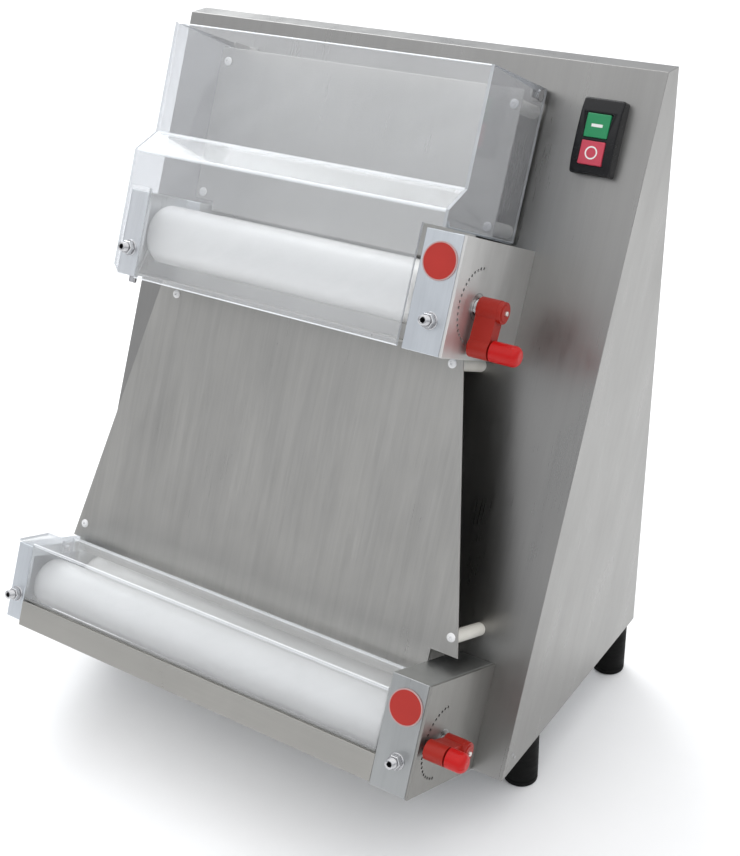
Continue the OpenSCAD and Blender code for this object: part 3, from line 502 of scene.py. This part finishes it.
def hex_nut(bm, where, corner_r, z0, z1, bore, chamfer=0.6):
    """Hexagonal nut with chamfered corners: a six-sided ring with a smaller first and last step."""
    turned_solid(bm, where, [
        (bore, z0), (corner_r - chamfer, z0), (corner_r, z0 + chamfer), (corner_r, z1 - chamfer),
        (corner_r - chamfer, z1), (bore, z1)
    ], steps=6, ring=True)


def centre(limits):
    return [(a + b) / 2 for a, b in limits]


def add_turned(name, material, node, where, outline, **shape):
    """A small turned piece that comes on top of a node and doesn't stand for it."""
    bm = bmesh.new()
    turned_solid(bm, where, outline, **shape)
    make_object(name, bm, [material], node, replace=False)


def make_chute_screws():
    """White domed screws with a socket, in place of the flat ones."""
    bm = bmesh.new()
    head_r, head_h, rim_h = 4.5, 2, 0.35
    arc = (0, 0.25, 0.5, 0.75, 1.0, 1.2)
    dome = [(head_r * math.cos(a), rim_h + (head_h - rim_h) * math.sin(a)) for a in arc]
    for solid in islands("chute_screws"):
        limits = panel_box("chute_screws", solid)
        x, _, u = centre(limits)
        head = out_of_panel(x, limits[1][1] - head_h * MM, u)
        outline = [(0, -13.5), (1.95, -13.5), (1.95, 0), (head_r, 0)]
        outline += dome + [(1.3, 1.9), (1.0, 0.7), (0, 0.5)]
        turned_solid(bm, head, outline, steps=24)
    make_object("chute_screw_set", bm, [MATERIALS["white_screw"]], "chute_screws", smooth=50)


def make_adjusters():
    """Hollow studs with a thread, a washer and a chamfered lock nut, and the short clamp screw. Their bores
    and socket are painted dark as shade.
    """
    stud_out, shortest_stud = 14, 12
    bm = bmesh.new()
    for solid in islands("adjuster_screws"):
        limits = panel_box("adjuster_screws", solid)
        x, n, u = centre(limits)
        if limits[1][1] - limits[1][0] < shortest_stud * MM:
            under = out_of_panel(x, n, limits[2][1]) @ Matrix.Rotation(math.pi / 2, 4, "X")
            turned_solid(bm, under, [
                (0, 0), (4, 0), (4, 5.2), (3.4, 6), (2.1, 6), (2.1, 3.6), (0, 3.4)
            ], steps=24, paint=(4, 5))
            continue
        foot = out_of_panel(x, limits[1][1] - stud_out * MM, u)
        thread = []
        for k in range(7):
            thread += [(4.1, 7 + k), (4.5, 7.35 + k), (4.5, 7.5 + k), (4.1, 7.9 + k)]
        thread[-1] = (3.7, stud_out)
        outline = [(0, -9), (3.95, -9), (3.95, 0), (8, 0), (8, 1.1), (7.6, 1.5), (4.1, 1.5)]
        outline += thread + [(2.9, stud_out), (2.5, 13.6), (2.5, 4), (0, 4)]
        turned_solid(bm, foot, outline, steps=28, paint=(len(outline) - 3, len(outline) - 2))
        hex_nut(bm, foot, 7, 1.55, 6.9, 4.1)
    make_object("adjuster_set", bm, [MATERIALS["bright_fixings"], SOCKET_SHADE], "adjuster_screws")


def make_feet():
    """Rubber feet with a rounded sole, a groove above it and a hollow for the bolt."""
    bm = bmesh.new()
    for solid in islands("feet"):
        xs, ys, zs = [[p[i] for p in solid] for i in range(3)]
        place = upright((min(xs) + max(xs)) / 2, (min(ys) + max(ys)) / 2, min(zs))
        turned_solid(bm, place, [
            (7, 0), (15.3, 0), (16.4, 0.3), (17.2, 1.1), (17.5, 2.4), (17.5, 6), (16.9, 6.5), (16.9, 7.3),
            (17.5, 7.8), (17.5, 59), (17.1, 60), (4.2, 60), (4.2, 35), (7, 35)
        ], steps=48, ring=True)
    make_object("foot_set", bm, [MATERIALS["foot_rubber"]], "feet")


def make_housing_screws():
    """Foot bolts with socket heads and nuts, and the shorter pan-head cover screws with a socket. The
    sockets are painted dark as shade.
    """
    shortest_bolt, head_h = 20, 2.2
    bm = bmesh.new()
    for solid in islands("housing_screws"):
        xs, ys, zs = [[p[i] for p in solid] for i in range(3)]
        x, y, z = [(min(v) + max(v)) / 2 for v in (xs, ys, zs)]
        if max(zs) - min(zs) > shortest_bolt * MM:
            place = upright(x, y, min(zs))
            turned_solid(bm, place, [
                (0, 3), (2.8, 2.6), (2.8, 0), (5.7, 0), (6.3, 0.6), (6.3, 5.2), (4, 5.2), (4, 37.6),
                (3.4, 38.2), (0, 38.2)
            ], steps=24, paint=(0, 1))
            hex_nut(bm, place, 6.5, 32.25, 37.45, 4.05)
        else:
            place = to_the_back(x, max(ys) - head_h * MM, z)
            turned_solid(bm, place, [
                (0, -6), (1.95, -6), (1.95, 0), (3.8, 0), (3.8, 0.9), (3.3, 1.8), (2.2, head_h),
                (1.4, head_h), (1.2, 0.9), (0, 0.7)
            ], steps=24, paint=(7, 8))
    make_object("housing_screw_set", bm, [MATERIALS["bright_fixings"], SOCKET_SHADE], "housing_screws")


def make_gland():
    """Cable gland: hexagonal foot, ribbed dome nut and an open bore."""
    low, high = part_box("cable_gland")
    x, z = (low.x + high.x) / 2, (low.z + high.z) / 2
    place = to_the_back(x, low.y + 12 * MM, z)
    bm = bmesh.new()
    turned_solid(bm, place, [(4, -12), (8, -12), (8, 0), (4, 0)], steps=48, ring=True)
    hex_nut(bm, place, 12.4, 0, 5, 4, 0.9)
    turned_solid(bm, place, [
        (4, 5), (9.4, 5), (10, 6), (10, 16.6), (9.2, 18.6), (7, 21.4), (6.2, 22), (4.8, 22), (4, 20.5)
    ], steps=48, ring=True, ripple=(2, 3), depth=0.7)
    make_object("cable_gland_ribbed", bm, [MATERIALS["gland_nylon"]], "cable_gland")


def make_switch():
    """Switch body with well rounded outer edges and crisp recesses, and a bar and a ring on the buttons."""
    (x0, x1), _, (u0, u1) = panel_box("switch_housing")
    close, on_panel = 0.02 * MM, 1 * MM

    def on_rim(edge):
        points = [v.co - ORIGIN for v in edge.verts]
        if max(p.dot(OUT) for p in points) < on_panel:
            return False
        return any(
            all(abs(p.dot(axis) - limit) < close for p in points)
            for axis, limit in ((ACROSS, x0), (ACROSS, x1), (UP, u0), (UP, u1))
        )

    bm = clean_copy("switch_housing")
    round_edges(bm, 2.4, shortest=2, segments=5, only=on_rim)
    make_object("switch_body", bm, [MATERIALS["switch_black"]], "switch_housing", smooth=40)
    bar = Matrix.Diagonal((2.4, 0.6, 1, 1)) @ Matrix.Rotation(math.pi / 4, 4, "Z")
    for node, shape, inner_r, outer_r, steps in (
        ("start_button", bar, 0, 3.2, 4),
        ("stop_button", Matrix.Identity(4), 4.7, 6.0, 32),
    ):
        limits = panel_box(node)
        x, _, u = centre(limits)
        outline = [(inner_r, -0.6), (outer_r, -0.6), (outer_r, 0.12), (inner_r, 0.12)]
        place = out_of_panel(x, limits[1][1], u) @ shape
        add_turned(node + "_mark", MARK_WHITE, node, place, outline, steps=steps, ring=inner_r > 0)


def make_lever_details(node, gap_shaft, plate_out):
    """Pin and cap on the end of a lever's shaft, and the ring that the hub leaves on its index plate."""
    shaft_end = panel_box(gap_shaft)[0][1]
    at_end = shaft_end - 0.1 * MM
    points = [v.co for v in NODES[gap_shaft].data.vertices if (v.co - ORIGIN).dot(ACROSS) > at_end]
    end_box = panel_box(gap_shaft, points)
    _, n, u = centre(end_box)
    cap_r = (end_box[1][1] - end_box[1][0]) / 2 / MM + 0.3
    pivot = along_row_x(shaft_end, n, u)
    add_turned(node + "_end_pin", PIN_STEEL, node, pivot, [
        (0, -1), (2.4, -1), (2.4, 2.2), (2.0, 2.8), (0, 3.0)
    ], steps=20)
    add_turned(node + "_end_cap", MATERIALS["red_lever"], node, pivot, [
        (0, -0.5), (cap_r, -0.5), (cap_r, 0.5), (cap_r - 0.6, 1.0), (0, 1.0)
    ], steps=48)
    add_turned(node + "_rub_ring", INNER_STEEL, "index_plates", along_row_x(plate_out, n, u), [
        (11.6, -0.5), (12.6, -0.5), (12.6, 0.12), (11.6, 0.12)
    ], steps=48, ring=True)


def make_rivets():
    """Two small domed rivets low on the right side of the housing, near its front edge."""
    bm = bmesh.new()
    (_, x1), _, _ = panel_box("housing_shell")
    for n, u in ((-12, 25), (-18, 21)):
        turned_solid(bm, along_row_x(x1, n * MM, u * MM), [
            (0, -0.8), (1.9, -0.8), (1.9, 0.1), (1.5, 0.6), (0.8, 0.9), (0, 1.0)
        ], steps=20)
    make_object("side_rivets", bm, [INNER_STEEL], "housing_shell", replace=False)


for node, radius, shortest in (
    ("housing_shell", 1.4, 12), ("rear_cover", 0.35, 60), ("base_plate", 0.3, 15),
    ("upper_left_block", 0.9, 8), ("lower_left_block", 0.9, 8),
    ("upper_drive_case", 0.9, 8), ("lower_drive_case", 0.9, 8),
    ("inner_plates", 0.5, 8), ("lower_fascia", 0.4, 20),
    ("upper_chute", 0.3, 12), ("lower_chute", 0.3, 12), ("rear_scrapers", 0.3, 20),
    ("upper_front_scraper", 0.3, 20), ("lower_front_scraper", 0.3, 20), ("chute_posts", 0.4, 0.4),
    ("guard_brackets", 0.4, 3), ("upper_lever", 1.2, 0.4), ("lower_lever", 1.2, 0.4),
    ("start_button", 0.9, 4), ("stop_button", 0.9, 4),
):
    rounded(node, radius, shortest)
rounded("marker_discs", 0.25, 0.4, paint=paint_disc_rim, materials=[MATERIALS["red_disc"], DISC_RIM])
rounded("index_plates", 0.5, 8, paint=paint_lower_stage_shade, materials=[UPPER_PLATE_LIT, LOWER_PLATE_SHADE])
guard_sheets("upper_guard", side_t=3)
guard_sheets("lower_guard", side_t=0, lip=4)
make_chute_screws()
make_adjusters()
make_feet()
make_housing_screws()
make_gland()
make_switch()
plates = islands("index_plates")
for node, gap_shaft in (("upper_lever", "upper_gap_shaft"), ("lower_lever", "lower_gap_shaft")):
    height = centre(panel_box(gap_shaft))[2]
    plate = min((panel_box("index_plates", p) for p in plates), key=lambda b: abs(centre(b)[2] - height))
    make_lever_details(node, gap_shaft, plate[0][1])
make_rivets()

# ---- stage ----

CAMERA_AT = Vector((0.731, -0.9866, 0.990))
CAMERA_AZIMUTH = math.radians(34.3)
CAMERA_ELEVATION = math.radians(28.7)
CAMERA_ROLL = math.radians(-1.6)
CAMERA_LENS = 57.97  # on a 36 mm sensor, along the picture's long side


def make_camera():
    a, e, r = CAMERA_AZIMUTH, CAMERA_ELEVATION, CAMERA_ROLL
    back = Vector((math.sin(a) * math.cos(e), -math.cos(a) * math.cos(e), math.sin(e)))
    right = Vector((math.cos(a), math.sin(a), 0))
    top = back.cross(right)
    side = right * math.cos(r) + top * math.sin(r)
    tall = top * math.cos(r) - right * math.sin(r)
    camera = bpy.data.objects.new("camera", bpy.data.cameras.new("camera"))
    camera.data.lens = CAMERA_LENS
    camera.data.sensor_width = 36
    camera.matrix_world = Matrix.Translation(CAMERA_AT) @ Matrix((side, tall, back)).transposed().to_4x4()
    bpy.context.scene.collection.objects.link(camera)
    bpy.context.scene.camera = camera


def soft_light(name, at, aim, size, power, colour):
    light = bpy.data.lights.new(name, "AREA")
    light.shape, light.size, light.energy, light.color = "DISK", size, power, colour
    thing = bpy.data.objects.new(name, light)
    thing.location = at
    thing.rotation_euler = (Vector(aim) - Vector(at)).to_track_quat("-Z", "Y").to_euler()
    bpy.context.scene.collection.objects.link(thing)


def make_floor():
    bm = bmesh.new()
    bmesh.ops.create_circle(bm, cap_ends=True, segments=96, radius=14)
    mesh = bpy.data.meshes.new("floor")
    bm.to_mesh(mesh)
    bm.free()
    mesh.materials.append(plastic("floor_pale", (0.90, 0.90, 0.90), 0.75, 200, strength=0.02, cloud=0.005))
    floor = bpy.data.objects.new("floor", mesh)
    bpy.context.scene.collection.objects.link(floor)


def make_world():
    """Soft studio: grey walls near the horizon under a bright white ceiling."""
    world = bpy.data.worlds.new("studio")
    world.use_nodes = True
    nodes, links = world.node_tree.nodes, world.node_tree.links
    sky = nodes["Background"]
    split = nodes.new("ShaderNodeSeparateXYZ")
    links.new(nodes.new("ShaderNodeTexCoord").outputs["Generated"], split.inputs[0])
    ramp = nodes.new("ShaderNodeValToRGB")
    links.new(split.outputs["Z"], ramp.inputs["Fac"])
    stops = ramp.color_ramp
    stops.interpolation = "EASE"
    stops.elements[0].position, stops.elements[0].color = 0.0, (0.34, 0.345, 0.36, 1)
    stops.elements[1].position, stops.elements[1].color = 1.0, (1, 1, 1, 1)
    middle = stops.elements.new(0.30)
    middle.color = (0.44, 0.45, 0.47, 1)
    high = stops.elements.new(0.62)
    high.color = (0.92, 0.93, 0.95, 1)
    links.new(ramp.outputs["Color"], sky.inputs["Color"])
    sky.inputs["Strength"].default_value = 1.5
    bpy.context.scene.world = world


make_camera()
make_floor()
make_world()
middle = (cad_box[0] + cad_box[1]) / 2
soft_light("key_back_left", (-1.9, 1.5, 2.6), middle, size=2.2, power=50, colour=(0.95, 0.98, 1.0))
bpy.context.scene.view_settings.view_transform = "Standard"
